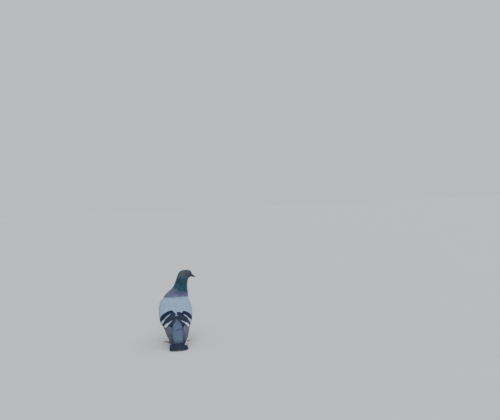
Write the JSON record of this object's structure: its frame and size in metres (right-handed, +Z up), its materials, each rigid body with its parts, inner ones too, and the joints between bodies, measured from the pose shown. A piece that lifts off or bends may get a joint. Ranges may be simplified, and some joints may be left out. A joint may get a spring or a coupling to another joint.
{
  "type": "pigeon figure",
  "caption": "Life-size still model of a grey feral pigeon standing upright on both feet with folded wings, its head turned to look over its right side.",
  "frame": {"origin": "the middle of the box around the whole bird, at floor level under its feet", "axes": "+Z up, -Y the way the breast faces, +X the bird's left; the head looks along -X and a little along -Y"},
  "size_m": [0.1336, 0.2094, 0.2451],
  "materials": {
    "body_plumage": "matte feather",
    "neck_plumage": "iridescent feather with a silky sheen",
    "head_plumage": "matte feather",
    "wing_shield": "matte feather with two dark bars",
    "flight_feathers": "smooth vane, faint sheen",
    "tail_feathers": "smooth vane, faint sheen",
    "leg_skin": "bare scaly skin",
    "dark_horn": "smooth horn, satin",
    "cere_skin": "chalky bare skin",
    "eye": "wet gloss"
  },
  "bodies": {
    "root": {"trunk": "body_plumage", "rump": "body_plumage", "neck": "neck_plumage", "head": "head_plumage", "wing_left": "wing_shield", "wing_right": "wing_shield", "primaries_left": "flight_feathers", "primaries_right": "flight_feathers", "tail": "tail_feathers", "thigh_left": "body_plumage", "thigh_right": "body_plumage", "shank_left": "leg_skin", "shank_right": "leg_skin", "bill_upper": "dark_horn", "bill_lower": "dark_horn", "cere": "cere_skin", "eye_left": "eye", "eye_right": "eye", "toe_left_inner": "leg_skin", "toe_left_middle": "leg_skin", "toe_left_outer": "leg_skin", "toe_left_hind": "leg_skin", "claw_left_inner": "dark_horn", "claw_left_middle": "dark_horn", "claw_left_outer": "dark_horn", "claw_left_hind": "dark_horn", "toe_right_inner": "leg_skin", "toe_right_middle": "leg_skin", "toe_right_outer": "leg_skin", "toe_right_hind": "leg_skin", "claw_right_inner": "dark_horn", "claw_right_middle": "dark_horn", "claw_right_outer": "dark_horn", "claw_right_hind": "dark_horn"}
  },
  "joints": []
}
